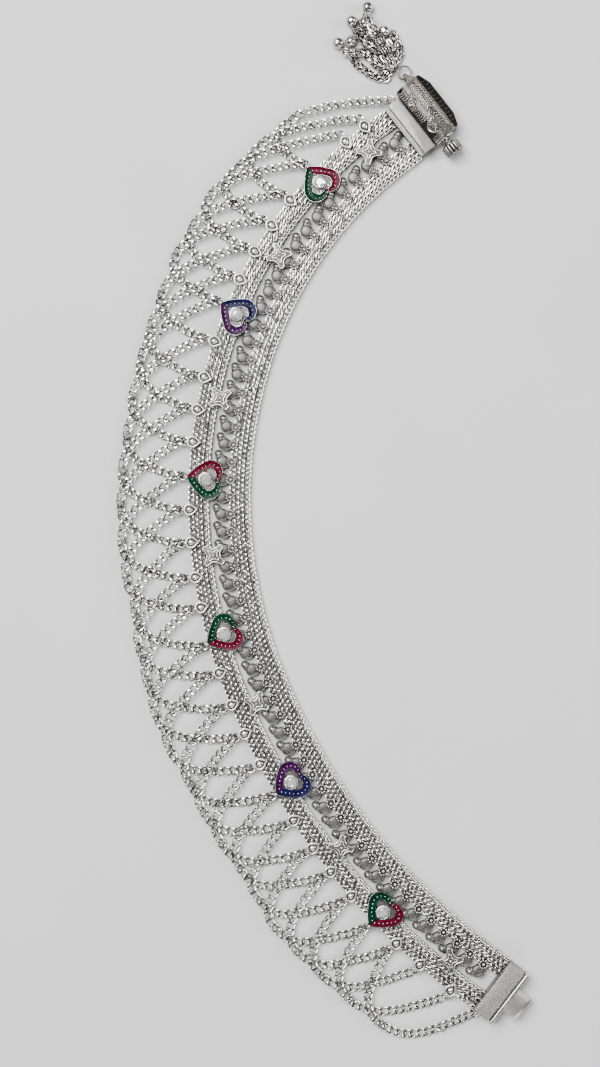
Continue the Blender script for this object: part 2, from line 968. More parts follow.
@dataclass(frozen=True)
class Course:
    """The bands' course: three bends that run into each other, along the inner edge.

    bends holds each one's radius and its angle in degrees.
    """

    bends: tuple[Pair, ...] = ((100, 40), (118, 39), (168, 33.5))
    start: Pair = (0.8, 97.8)
    heading: float = 212.3

    def lengths(self) -> np.ndarray:
        """Returns the length along the inner edge at which each bend ends."""
        return np.cumsum([r * math.radians(a) for r, a in self.bends])

    def outward(self, heading: float | np.ndarray) -> np.ndarray:
        """Returns the outward directions at headings in degrees."""
        turn = np.radians(heading)
        return np.stack([np.sin(turn), -np.cos(turn)], -1)

    def bend_at(self, s: float | np.ndarray) -> tuple[np.ndarray, np.ndarray]:
        """Returns the number of the bend at each length s, and its radius."""
        k = np.searchsorted(self.lengths()[:-1], s, side="right")
        return k, np.array([r for r, _ in self.bends])[k]

    def heading_at(self, s: float | np.ndarray) -> np.ndarray:
        """Finds the bands' headings.

        Args:
            s: Lengths along the inner edge.

        Returns:
            The heading in degrees at each.
        """
        k, radii = self.bend_at(s)
        before = np.concatenate([[0], self.lengths()])[k]
        turned = np.concatenate([[0], np.cumsum([a for _, a in self.bends])])[k]
        return self.heading + turned + np.degrees((s - before) / radii)

    def centres(self) -> np.ndarray:
        """Finds the centres of the bends.

        Returns:
            The centre of each.
        """
        centre = np.array(self.start) - self.bends[0][0] * self.outward(self.heading)
        found, heading = [centre], self.heading
        for (r, angle), (next_r, _) in zip(self.bends, self.bends[1:]):
            heading += angle
            centre = centre + (r - next_r) * self.outward(heading)
            found.append(centre)
        return np.array(found)

    def point(self, s: float | np.ndarray, d: float | np.ndarray) -> np.ndarray:
        """Returns the points at lengths s along the inner edge and d outward from it."""
        k, radii = self.bend_at(s)
        return self.centres()[k] + np.asarray(radii + d)[..., None] * self.outward(self.heading_at(s))

    def place(self, s: float, d: float, turn: float = 0, grow: float = 1) -> np.ndarray:
        """Returns the place at s and d, with +X outward and +Y along the band."""
        return place((*self.point(s, d), 0), float(self.heading_at(s)) - 90 + turn, grow)


@dataclass(frozen=True)
class Cap:
    """Frame of an end cap: +X along the cap, +Y away from the bands."""

    at: Pair
    turn: float
    back: float

    def axes(self) -> Pair:
        """Returns the cosine and the sine of the cap's turn."""
        return math.cos(math.radians(self.turn)), math.sin(math.radians(self.turn))

    def place(self, x: float = 0, y: float = 0) -> np.ndarray:
        """Returns the place at x and y of the cap's own frame."""
        return place((*self.point(x, y), 0), self.turn)

    def point(self, x: float, y: float) -> np.ndarray:
        """Returns the point at x and y of the cap's own frame."""
        c, s = self.axes()
        return np.array([self.at[0] + x * c - y * s, self.at[1] + x * s + y * c])

    def depth(self, points: np.ndarray) -> np.ndarray:
        """Returns how far points lie beyond the cap's back edge, towards the cap."""
        c, s = self.axes()
        return -(points[:, 0] - self.at[0]) * s + (points[:, 1] - self.at[1]) * c + self.back


@dataclass(frozen=True)
class Layout:
    """Places that several sub-assemblies share, as the part's source sets them out."""

    course: Course = Course()
    head: Cap = Cap((-5.1, 104.2), -52, 2.65)
    tail: Cap = Cap((17.6, -119), -127.7, 2.3)
    cap_l: float = 15.6
    inner_w: float = 5.6
    outer_w: float = 5.4
    gap_w: float = 5.2
    band_t: float = 1.9
    seat: float = 0.05
    stud_r: float = 1.6
    # How far an ear's middle stands off what holds it, and how far out chains end
    ear_off: float = 0.2
    ear_out: float = 1.15
    cap_ear_z: float = 1.6
    head_ear_y: float = 0.2
    tail_ear_y: float = -1.2
    heart_reach: float = 5.3
    # Place of each heart's tip along the band, how far outward it is, and its lean
    hearts: tuple[Triple, ...] = (
        (25.5, 18.2, -8), (61, 17.9, -14), (101, 17, -5),
        (139.5, 16.7, 15), (178, 16.3, 7), (216, 17.7, 1),
    )  # fmt: skip
    # Places along the band where the swags are hooked on
    hooks: tuple[float, ...] = (
        2.5, 10, 15.5, 25.5, 33.5, 40.5, 47.5, 54.5, 61, 69.5, 78, 85.5, 93, 101, 108.5,
        116, 124, 131, 139.5, 146.5, 154.5, 162, 170, 178, 185.5, 193.5, 200.5, 208, 216,
        223.5, 231, 240.5, 247.5,
    )  # fmt: skip

    @property
    def outer_d(self) -> float:
        """Distance from the inner edge to the outer band."""
        return self.inner_w + self.gap_w

    @property
    def stud_d(self) -> float:
        """Distance from the inner edge to the middle of the studs."""
        return self.outer_d + self.outer_w - 0.35

    @property
    def stud_ear(self) -> float:
        """Distance from a stud's middle to its ear's."""
        return self.stud_r - 0.05

    @property
    def band_len(self) -> float:
        """Length of the bands along the inner edge."""
        return float(self.course.lengths()[-1])

    @property
    def on_top(self) -> float:
        """Height at which the studs and flowers stand."""
        return self.band_t + self.seat

    @property
    def over_band(self) -> float:
        """Height of the hearts' and bows' undersides."""
        return self.band_t + 0.4

    def between(self, points: np.ndarray, into: float) -> np.ndarray:
        """Returns whether points lie between the caps, or less than into inside them."""
        return (self.head.depth(points) < into) & (self.tail.depth(points) < into)

    def is_heart(self, hook: int) -> bool:
        """Whether a hook is a heart's tip."""
        return hook % 5 == 3

    def is_stud(self, hook: int) -> bool:
        """Whether a hook is a drop stud."""
        return 0 < hook < len(self.hooks) - 1 and not self.is_heart(hook)

    def heart_place(self, i: int) -> np.ndarray:
        """Finds the place of a heart's stone.

        Args:
            i: The heart's number from the head.

        Returns:
            The place, with the tip towards +X.
        """
        tip = self.course.place(*self.hearts[i])
        tip[:3, 3] -= self.heart_reach * tip[:3, 0]
        return tip

    def ear(self, hook: int) -> tuple[np.ndarray, np.ndarray]:
        """Finds the ear that a hook is.

        Args:
            hook: The hook's number from the head.

        Returns:
            The middle of the ear, and the point just outward of it where chains end.
        """
        if hook in (0, len(self.hooks) - 1):
            cap, side, y = (self.tail, 1, self.tail_ear_y) if hook else (self.head, -1, self.head_ear_y)
            end = side * self.cap_l / 2
            middle, out = (cap.point(end + side * off, y) for off in (self.ear_off, self.ear_out))
            return np.array([*middle, self.cap_ear_z]), out
        s, d, lean, foot = self.hooks[hook], self.stud_d + self.stud_ear, 0, self.on_top
        if self.is_heart(hook):
            (s, d, lean), foot = self.hearts[(hook - 3) // 5], self.over_band
        middle = self.course.point(s, d)
        out = self.course.outward(self.course.heading_at(s) + lean)
        return np.array([*middle, foot + self.ear_off]), middle + self.ear_out * out


# Sub-assemblies


@dataclass
class WovenBand:
    """A band woven from rows of linked wire, with dashes of wire bound between them.

    start is its distance from the anklet's inner edge. Rows are laid to past_end beyond
    its ends, and into_cap and core_into_cap are how far the links and the core then
    reach into the end caps.
    """

    layout: Layout
    node: str
    start: float
    width: float
    rows: int = 5
    pitch: float = 1.26
    lean: float = -4
    splay: float = 13
    link: Link = Link(0.78, 0.34, 0.06, 0.36, 0.38, steps=10, sides=5)
    edge_link: Link = Link(0.82, 0.36, 0.12, 0.42, 0.4, steps=12, sides=6)
    under_link: Link = Link(0.78, 0.36, 0.0, 0.42, 0.4, steps=8, sides=4)
    under_z: float = 0.52
    dash: Link = Link(0.44, 0.1, 0.0, 0.28, 0.32, steps=8, sides=4)
    dash_splay: float = 38
    dash_below: float = 0.24
    core: Pair = (0.35, 1.3)
    core_inset: float = 0.35
    into_cap: float = 0.5
    core_into_cap: float = 0.3
    past_end: float = 6
    # Spread of the links along the band, in turn in degrees, in rise and in roll
    kinks: float = 0.035
    turns: float = 2
    rises: float = 0.02
    rolls: float = 0.13
    seed: int = 3

    def row(
        self,
        d: float,
        z: float,
        link: Link,
        shift: float,
        lean: float,
        splay: float,
        rng: np.random.Generator,
    ) -> Form:
        """Lays one row of links.

        Args:
            d: Distance of the row from the anklet's inner edge.
            z: Height of the links' middles.
            link: The link that the row is made of.
            shift: Part of a pitch by which the row is moved along.
            lean: Roll of the links about the row, in degrees.
            splay: Turn of the links out of the row's direction, in degrees.
            rng: The source of the small kinks.

        Returns:
            The row.
        """
        end = self.layout.band_len + self.past_end
        s = np.arange(-self.past_end, end, self.pitch) + shift * self.pitch
        s = s + rng.normal(0, self.kinks, len(s))
        across = d + rng.normal(0, self.kinks * 0.6, len(s))
        points = self.layout.course.point(s, across)
        inside = self.layout.between(points, self.into_cap)
        s, points = s[inside], points[inside]
        turned = splay + rng.normal(0, self.turns, len(s))
        heading = np.radians(self.layout.course.heading_at(s) + turned)
        ways = at_height(ways_at(heading), rng.normal(0, self.rises, len(s)))
        middles = at_height(points, z + rng.normal(0, self.rises, len(s)))
        rolls = math.radians(lean) + rng.normal(0, self.rolls, len(s))
        return link.form().spread(link_places(middles, unit(ways), rolls))

    def core_strip(self) -> Form:
        """Lays the strip under the links.

        Returns:
            The strip.
        """
        s = np.linspace(-5, self.layout.band_len + 5, 260)
        points = self.layout.course.point(s, self.start + self.width / 2)
        points = points[self.layout.between(points, self.core_into_cap)]
        low, high = self.core
        return tube(
            at_height(points, (low + high) / 2), self.width - 2 * self.core_inset, high - low, 8
        )

    def build(self) -> None:
        """Builds the band."""
        rng = np.random.default_rng(self.seed)
        edge = self.edge_link.half_width + self.edge_link.wire / 2
        steps = np.linspace(self.start + edge, self.start + self.width - edge, self.rows)
        gap = steps[1] - steps[0]
        top = self.layout.band_t
        forms = [self.core_strip()]
        for k, d in enumerate(steps):
            link = self.link if k else self.edge_link
            z = top - link.twist - link.wire_height / 2
            forms.append(self.row(d, z, link, 0.5 * (k % 2), self.lean, self.splay, rng))
            if k:
                across, z = -self.dash_splay, top - self.dash_below
                forms.append(self.row(d - gap / 2, z, self.dash, 0.25, 0, across, rng))
        for d in (steps[0], steps[-1]):
            forms.append(self.row(d, self.under_z, self.under_link, 0.25, 0, 0, rng))
        make_piece(f"{self.node}_weave", join(forms), WEAVE_SILVER, self.node, crease=60)


@dataclass
class Swags:
    """The net of curb chain swags, each from one hook to the one span along.

    A swag drops from high_z to low_z over drop_len of its length, from the first part
    in drop_from for the first_ones and from the second for the others.
    """

    layout: Layout
    # Swag's number from the head, its depth, its lean and how square its belly is
    hang: tuple[tuple[float, float, float, float], ...] = (
        (0, 11.2, 44.5, 2.5), (1, 13, 38, 2.3), (2, 14, 38, 2.25), (3, 14.9, 28, 2.4),
        (8, 14.9, 19, 2.3), (13, 16, 11, 2.4), (15, 15.4, 8, 2.5), (17, 16.4, 4, 2.6),
        (18, 17.4, 0, 2.8), (21, 16.6, 0, 2.8), (24, 17, -3, 2.8), (25, 18, -6, 2.8),
        (27, 17.3, -10, 2.8), (28, 16.5, -14, 2.7), (29, 16.5, -12, 2.8),
    )  # fmt: skip
    span: int = 3
    low_z: float = 0.55
    high_z: float = 1.8
    drop_from: Pair = (0.37, 0.43)
    first_ones: int = 3
    drop_len: float = 0.12
    pitch: float = 1.88
    link: Link = Link(1.27, 0.98, 0.27, 0.56, 0.5, filed=0.44, steps=20, sides=8)
    sway: float = 0.05
    roll: float = 7
    over_floor: float = 0.03
    seed: int = 11

    def centreline(self, i: int) -> np.ndarray:
        """Draws a swag's course.

        Args:
            i: The swag's number from the head.

        Returns:
            Its points, from ear to ear.
        """
        ear, start = self.layout.ear(i)
        far_ear, end = self.layout.ear(i + self.span)
        numbers, *shape = np.array(self.hang).T
        depth, lean, square = (np.interp(i, numbers, v) for v in shape)
        u = np.linspace(0, 1, 241)
        along = unit(end - start)
        out = np.array([along[1], -along[0]])
        fall = depth * (out + math.tan(math.radians(lean)) * along)
        belly = 1 - np.abs(2 * u - 1) ** square
        flat = start + u[:, None] * (end - start) + belly[:, None] * fall
        drop = (u - self.drop_from[0 if i < self.first_ones else 1]) / self.drop_len
        drop = np.clip(drop, 0, 1)
        z = self.high_z + (self.low_z - self.high_z) * drop**2 * (3 - 2 * drop)
        return np.vstack([ear, at_height(flat, z), far_ear])

    def swag(self, i: int, rng: np.random.Generator) -> Form:
        """Links a swag.

        Args:
            i: The swag's number from the head.
            rng: The source of its unevenness.

        Returns:
            Its links.
        """
        middles, ways = along_path(self.centreline(i), self.pitch)
        count = len(middles)
        sway = rng.normal(0, self.sway, (count, 3)) * np.array([1, 1, 0.4])
        yaw = rng.normal(0, self.sway, count)
        turned = ways + np.cross(UP, ways) * yaw[:, None]
        rolls = rng.normal(0, math.radians(self.roll), count)
        form = self.link.form().spread(link_places(middles + sway, unit(turned), rolls))
        height = form.points[:, 2].reshape(count, -1)
        height += np.maximum(self.over_floor - height.min(1, keepdims=True), 0)
        return form

    def build(self) -> None:
        """Builds every swag."""
        rng = np.random.default_rng(self.seed)
        for i in range(len(self.layout.hooks) - self.span):
            node = f"swag_{i + 1:02d}"
            make_piece(f"{node}_links", self.swag(i, rng), CHAIN_SILVER, node, Slot.CHAIN, crease=50)


@dataclass
class PaisleyRow:
    """Domed paisleys soldered between the bands, each with a pearl and a flower."""

    layout: Layout
    first: float = 6.3
    last_gap: float = 4.2
    pitch: float = 4.3
    body_d: float = 7.7
    # Outline of a body, +X outward and +Y towards the tongue cap, and its middle
    outline: tuple[Pair, ...] = (
        (1.08, -0.93), (1.4, -0.25), (1.42, 0.53), (1.08, 1.29), (0.38, 1.77),
        (-0.51, 1.84), (-1.28, 1.52), (-1.74, 0.82), (-1.8, 0.01), (-1.4, -0.67),
        (-0.68, -1.05), (0.05, -1.2), (0.6, -1.3),
    )  # fmt: skip
    middle: Pair = (-0.1, 0.15)
    full: float = 1.1
    line_turn: float = 40
    top: float = 2.1
    # Size and height of the foot's levels, then size and depth under the top of the dome's
    foot: tuple[Pair, ...] = ((0.92, 0.45), (1.0, 0.9))
    dome: tuple[Pair, ...] = (
        (1.01, 0.42), (0.98, 0.3), (0.92, 0.3), (0.89, 0.36), (0.84, 0.26), (0.7, 0.14),
        (0.5, 0.05), (0.28, 0.01), (0.1, 0),
    )  # fmt: skip
    head_at: Pair = (1.2, -1.62)
    head_r: float = 1.02
    # Back of the comma, which fills it out between the body and the head
    back_at: Pair = (0.84, -0.9)
    back_r: float = 1.16
    flower_at: Pair = (-2.4, 0.3)
    flower_r: float = 1.0
    petals: int = 9
    seed: int = 21

    def body(self) -> Form:
        """Builds the dome inside its rim, and the head that curls from it.

        Returns:
            The body, with its hatching laid out.
        """
        middle, top = np.array(self.middle), self.top
        line = middle + (smooth_loop(self.outline, 36) - middle) * self.full

        def outline(size: float) -> np.ndarray:
            """Returns the body's outline at a size."""
            return middle + (line - middle) * size

        dome = stack(outline, [*self.foot, *((size, top - down) for size, down in self.dome)])
        head = bead(self.head_r, 14, 7, 0.72).moved(*self.head_at, top - 0.6)
        back = bead(self.back_r, 12, 6, 0.6).moved(*self.back_at, top - 0.62)
        neck = lathe([(0.6, 0.9), (0.6, top - 0.5)], 12).moved(*self.head_at)
        return join([dome, head, back, neck]).patterned(self.line_turn)

    def trim(self) -> Form:
        """Builds the pearl on the head, and the flower.

        Returns:
            Both, with the flower's disc and stem.
        """
        pearl = bead(0.46, 10, 6, 0.8).crowned().moved(*self.head_at, self.top + 0.02)
        z = self.layout.on_top + 0.24
        petals = bead_ring(bead(0.3, 8, 5).crowned(), self.petals, self.flower_r, z, 0.5)
        heart = bead(0.46, 8, 5).crowned().moved(*self.flower_at, z + 0.2)
        disc = lathe([(1.0, z - 0.3), (1.15, z - 0.2), (1.1, z - 0.12), (0.5, z - 0.14)], 16)
        stem = block((-2.2, -0.9), (-0.75, 0.75), (0.7, self.top - 0.2), 0.15)
        disc, petals = disc.moved(*self.flower_at), petals.moved(*self.flower_at)
        return join([pearl, heart, disc, stem, petals])

    def build(self) -> None:
        """Builds the row as one piece of domes and one of their trim."""
        rng = np.random.default_rng(self.seed)
        places = []
        for s in np.arange(self.first, self.layout.band_len - self.last_gap, self.pitch):
            turn, grow = rng.normal(0, 1.6), 1 + rng.normal(0, 0.008)
            places.append(self.layout.course.place(s, self.body_d, turn, grow))
        domes, trim = self.body().spread(places), self.trim().spread(places)
        make_piece("paisley_domes", domes, HATCHED_SILVER, "paisley_row", crease=60)
        make_piece("paisley_trim", trim, GRAIN_SILVER, "paisley_row", crease=60)


@dataclass
class DropStuds:
    """Drops with a thick bright rim, a dark groove and a domed middle.

    point is how far the tip lies from the middle, against the round end's radius.
    """

    layout: Layout
    # Radius and height of each level, from the foot over the rim to the dome's top
    levels: tuple[Pair, ...] = (
        (1.5, 0.0), (1.6, 0.12), (1.6, 0.6), (1.55, 0.84), (1.42, 0.98), (1.22, 0.98),
        (1.08, 0.86), (1.0, 0.5), (0.96, 0.3), (0.86, 0.3), (0.82, 0.5), (0.76, 0.8),
        (0.62, 1.04), (0.38, 1.16), (0.1, 1.22),
    )  # fmt: skip
    point: float = 1.5
    seed: int = 5

    def outline(self, r: float) -> np.ndarray:
        """Draws a drop round the origin, with its point towards -X.

        Args:
            r: Radius of its round end.

        Returns:
            The outline, of shape (points, 2).
        """
        tip = np.array([-self.point * r, 0])
        end = math.pi - math.acos(-r / tip[0])
        arc = r * ways_at(np.linspace(-end, end, 22))
        there = [arc[-1] + (tip - arc[-1]) * f for f in (0.35, 0.7)]
        back = [arc[0] + (tip - arc[0]) * f for f in (0.7, 0.35)]
        return np.vstack([arc, *there, 0.97 * tip, *back])

    def build(self) -> None:
        """Builds all the studs as one piece."""
        rng = np.random.default_rng(self.seed)
        layout = self.layout
        drop = stack(self.outline, [(r, layout.on_top + z) for r, z in self.levels])
        stud = join([drop, ear_loop(layout.on_top + layout.ear_off, layout.stud_ear)])
        places = [
            layout.course.place(s, layout.stud_d, rng.normal(0, 2))
            for i, s in enumerate(layout.hooks)
            if layout.is_stud(i)
        ]
        make_piece("drop_studs_domed", stud.spread(places), RIM_SILVER, "drop_studs", crease=50)


@dataclass
class BowMotifs:
    """Four-petalled bridges between the outer band and the paisleys."""

    layout: Layout
    # Place along the band and distance outward
    places: tuple[Pair, ...] = (
        (13, 9.8), (45.5, 9.8), (82, 10.6), (119.5, 10.4), (156.5, 9.8), (197.5, 9.8),
        (236, 9.8),
    )  # fmt: skip
    half: float = 2.73
    bite_at: float = 3.71
    bite_r: float = 1.95
    reach: float = 3.45
    # Size against the outline and height, of each level and of each diamond of wire
    levels: tuple[Pair, ...] = (
        (0.97, 0.0), (1.0, 0.15), (1.0, 0.46), (0.95, 0.58), (0.86, 0.56), (0.6, 0.7),
        (0.3, 0.78),
    )  # fmt: skip
    diamonds: tuple[Pair, ...] = ((0.94, 0.62), (0.5, 0.8))
    points: int = 72

    def outline(self, grow: float) -> np.ndarray:
        """Draws the outline: a square with a round bite in each side.

        Args:
            grow: Its size.

        Returns:
            The outline, of shape (points, 2).
        """
        turns = turns_of(self.points)
        off = (turns + math.pi / 4) % (math.pi / 2) - math.pi / 4
        square = self.half / np.cos(off)
        inside = self.bite_r**2 - (self.bite_at * np.sin(off)) ** 2
        bite = self.bite_at * np.cos(off) - np.sqrt(np.maximum(inside, 0))
        reach = np.where(inside > 0, np.minimum(bite, square), square)
        return ring(np.minimum(reach, self.reach) * grow, turns, 0)[:, :2]

    def petals(self) -> Form:
        """Builds one motif's four petals.

        Returns:
            The petals, with lines laid out along each.
        """
        form = stack(self.outline, self.levels)
        x, y, z = form.points.T
        form.pattern = np.column_stack([np.where(x * y > 0, x - y, x + y) / math.sqrt(2), 0 * y, z])
        return form

    def wires(self) -> Form:
        """Bends one motif's nested diamonds of wire.

        Returns:
            The wires, with the dot over the motif's middle.
        """
        parts = [bead(0.42, 12, 7).crowned().moved(0, 0, 0.85)]
        for grow, height in self.diamonds:
            path = at_height(self.outline(grow), height)
            parts.append(tube(path, 0.36, 0.34, 8, loop=True).crowned())
        return join(parts)

    def build(self) -> None:
        """Builds all the motifs as one piece of petals and one of wires."""
        low, high = self.layout.on_top, self.layout.over_band
        posts = [lathe([(0.5, low), (0.5, high + 0.1)], 12).moved(1.9, y) for y in (-1.9, 1.9)]
        places = [self.layout.course.place(s, d) for s, d in self.places]
        petals = self.petals().moved(z=high).spread(places)
        wires = join([self.wires().moved(z=high), *posts]).spread(places)
        make_piece("bow_motifs_petals", petals, HATCHED_SILVER, "bow_motifs", crease=45)
        make_piece("bow_motifs_wires", wires, GRAIN_SILVER, "bow_motifs", crease=45)


@dataclass
class Hearts:
    """Enamelled hearts with a beaded channel round a cut stone in a collar."""

    layout: Layout
    side: float = 6.1
    rim_w: float = 0.14
    channel_w: float = 1.2
    bulge: float = 0.32
    shrink_to: float = -0.9
    plate_t: float = 0.7
    rim_h: float = 0.5
    rim_soft: float = 0.12
    stone_d: float = 3.1
    beads: int = 22
    bead_r: float = 0.21
    curl_at: Pair = (-2.0, 1.55)
    # Colours of the halves on the head's side and on the tongue's side
    colours: tuple[tuple[Slot, Slot], ...] = (
        (Slot.RED, Slot.GREEN),
        (Slot.NAVY, Slot.PURPLE),
        (Slot.RED, Slot.GREEN),
        (Slot.GREEN, Slot.RED),
        (Slot.PURPLE, Slot.NAVY),
        (Slot.GREEN, Slot.RED),
    )
    steps: int = 22

    @property
    def inner(self) -> float:
        """Side of the inner rim's inside."""
        return self.side - 2 * (2 * self.rim_w + self.channel_w)

    @property
    def floor(self) -> float:
        """Height of the channel's floor."""
        return self.layout.over_band + self.plate_t

    @property
    def top(self) -> float:
        """Height of the rims' tops."""
        return self.floor + self.rim_h

    @property
    def collar_top(self) -> float:
        """Height of the collar's top."""
        return self.top + 0.35

    def half(self, a: float) -> np.ndarray:
        """Draws the +Y half of a heart, from its tip to its cleft.

        Args:
            a: The heart's side.

        Returns:
            The half outline, of shape (points, 2).
        """
        full = self.side
        lobe = full / (2 * math.sqrt(2))
        shift = self.layout.heart_reach - 2 * lobe
        turns = np.radians(45) + np.linspace(0, math.pi, self.steps)
        arc = np.array([shift - lobe, lobe]) + full / 2 * ways_at(turns)
        tip = np.array([shift + 2 * lobe - 0.1, 0])
        out = self.bulge * np.array([1, 1]) / math.sqrt(2)
        side = [
            tip + (arc[0] - tip) * f + 4 * f * (1 - f) * out
            for f in (0, 0.04, 0.12, 0.25, 0.4, 0.55, 0.7, 0.85)
        ]
        middle = np.array([self.shrink_to, 0])
        return middle + (np.vstack([side, arc]) - middle) * a / full

    def outline(self, a: float) -> np.ndarray:
        """Returns the whole outline of a heart of side a."""
        half = self.half(a)
        return np.vstack([half, (half * MIRROR)[-2:0:-1]])

    def plate(self) -> Form:
        """Builds the plate with its two rims and the channel between them.

        Returns:
            The plate.
        """
        a, rim, soft, inside = self.side, 2 * self.rim_w, self.rim_soft, self.inner
        under, floor, top = self.layout.over_band, self.floor, self.top
        levels = [
            (a - 0.3, under), (a - 0.05, under + 0.12), (a, floor), (a, top - soft),
            (a - soft, top), (a - rim + soft, top), (a - rim, top - soft), (a - rim, floor),
            (inside + rim, floor), (inside + rim, top - soft), (inside + rim - soft, top),
            (inside + soft, top), (inside, top - soft), (inside, floor + 0.1),
        ]  # fmt: skip
        return stack(self.outline, levels)

    def setting(self) -> Form:
        """Builds what stands on the plate.

        Returns:
            The collar, its milled edge, the channel's beads, the tip, the ear and the post.
        """
        r, top, tip_x = self.stone_d / 2, self.collar_top, self.layout.heart_reach
        profile = [
            (r + 0.25, self.floor), (r + 0.27, top - 0.25), (r + 0.2, top - 0.04),
            (r + 0.05, top), (r - 0.05, top - 0.06), (r - 0.02, top - 0.3),
            (r * 0.8, top - 0.7), (r * 0.3, top - 0.98),
        ]  # fmt: skip
        grains = bead_ring(bead(0.13, 6, 4), 26, r + 0.22, top - 0.06)
        line = self.outline((self.side + self.inner) / 2)
        channel, _ = along_path(np.vstack([line, line[:1]]), count=self.beads)
        seeds = [bead(self.bead_r, 8, 5).moved(x, y, self.floor + 0.3) for x, y in channel]
        ball = bead(0.55, 12, 7).moved(tip_x - 0.2, 0, self.top - 0.1)
        ear = ear_loop(self.layout.over_band + self.layout.ear_off, tip_x)
        post = lathe([(0.7, self.layout.on_top), (0.7, self.floor)], 16).moved(tip_x - 2.6)
        return join([lathe(profile, 40), ball, ear, post, grains, *seeds])

    def ground(self) -> Form:
        """Builds the dark sunk sheet between the inner rim and the collar.

        Returns:
            The sheet, with its hatching laid out.
        """
        inside, low = self.inner - 0.1, self.floor
        levels = [(inside, low), (inside, low + 0.14), (inside - 0.5, low + 0.16), (1.0, low + 0.16)]
        return stack(self.outline, levels, start_cap=False).patterned()

    def curls(self) -> Form:
        """Builds the two bright curls beside the cleft, inside the inner rim.

        Returns:
            The curls.
        """
        turns = np.radians(np.linspace(60, 330, 16))
        curl = ring(np.linspace(0.62, 0.22, 16), turns, self.floor + 0.3) + (*self.curl_at, 0)
        return join([tube(curl * (1, side, 1), 0.2, 0.3, 6) for side in (-1, 1)])

    def enamel(self, side: int) -> Form:
        """Builds one half of the enamel.

        Args:
            side: 1 for the +Y side and -1 for the -Y side.

        Returns:
            The enamel.
        """
        outer = self.side - 2 * self.rim_w - 0.06
        inner = self.inner + 2 * self.rim_w + 0.06
        low, high = self.floor + 0.01, self.floor + 0.3
        levels = [
            (outer, low), (outer, high + 0.06), (outer - 0.25, high),
            ((outer + inner) / 2, high - 0.03),
            (inner + 0.25, high), (inner, high + 0.06), (inner, low),
        ]  # fmt: skip
        rings = []
        for a, z in levels:
            half = self.half(a)
            half[:, 1] = np.maximum(half[:, 1], 0.06)
            rings.append(at_height(half if side > 0 else (half * MIRROR)[::-1], z))
        rings = np.array(rings)
        numbers = np.arange(len(levels))[None]
        ends = [Form(rings[:, 0], [numbers]), Form(rings[:, -1], [numbers[:, ::-1]])]
        return join([skin(rings, closed=False), *ends])

    def brilliant(self) -> Form:
        """Cuts a round brilliant.

        Returns:
            The stone, with its table, crown and pavilion facets.
        """
        r, girdle = self.stone_d / 2, self.collar_top - 0.3
        # Radius, height over the girdle, points and shift of each ring
        rings = [
            (0.55 * r, 0.62, 8, 0.0), (0.78 * r, 0.42, 8, 0.5), (r, 0.08, 16, 0.0),
            (r, 0.0, 16, 0.0), (0.42 * r, -0.5, 8, 0.5), (0.06 * r, -0.68, 8, 0.0),
        ]  # fmt: skip
        points = [ring(a, turns_of(count, shift), girdle + z) for a, z, count, shift in rings]
        return hull_of(np.vstack(points))

    def build(self) -> None:
        """Builds the hearts, their stones and the four colours of enamel."""
        fills: dict[Slot, list[Form]] = {slot: [] for slot in ENAMELS}
        heart = join([self.plate(), self.setting(), self.curls()])
        stone = self.brilliant()
        places = [self.layout.heart_place(i) for i in range(len(self.colours))]
        make_piece("heart_grounds", self.ground().spread(places), HATCHED_SILVER, None)
        for i, (at, halves) in enumerate(zip(places, self.colours), 1):
            make_piece(f"heart_{i}_setting", heart.spread(at), CAST_SILVER, f"heart_{i}", crease=45)
            cut = stone.spread(at)
            make_piece(f"stone_{i}_cut", cut, CutStone("cut stone"), f"stone_{i}", Slot.STONE, crease=1)
            for side, slot in zip((-1, 1), halves):
                fills[slot].append(self.enamel(side).spread(at))
        for slot, forms in fills.items():
            make_piece(f"{slot.value}_fill", join(forms), ENAMELS[slot], slot.value, slot)


@dataclass
class HeadCap:
    """The cap at the head: a plate on a stepped skirt, soldered to the clasp."""

    layout: Layout
    plate_w: float = 3.3
    skirt: float = 1.0
    cap_h: float = 4.6
    base_h: float = 3.0

    def build(self) -> None:
        """Builds the grid-worked plate and its skirt."""
        at = self.layout.head.place()
        half, back = self.layout.cap_l / 2, self.plate_w / 2 + self.skirt
        plate = block((-half, half), (-self.plate_w / 2, self.plate_w / 2), (0.1, self.cap_h), 0.22)
        steps = [
            block((-half, half), (-back, 2.25), (0.1, self.base_h - 0.35), 0.18),
            block((-half + 0.05, half - 0.05), (-back + 0.4, 1), (0.5, self.base_h + 0.05), 0.18),
        ]
        ear = ear_loop(self.layout.cap_ear_z)
        ear = ear.moved(-half - self.layout.ear_off, self.layout.head_ear_y)
        make_piece("head_plate", plate.spread(at), SATIN_SILVER, "head_cap")
        make_piece("head_skirt", join([*steps, ear]).spread(at), SATIN_SILVER, "head_cap")


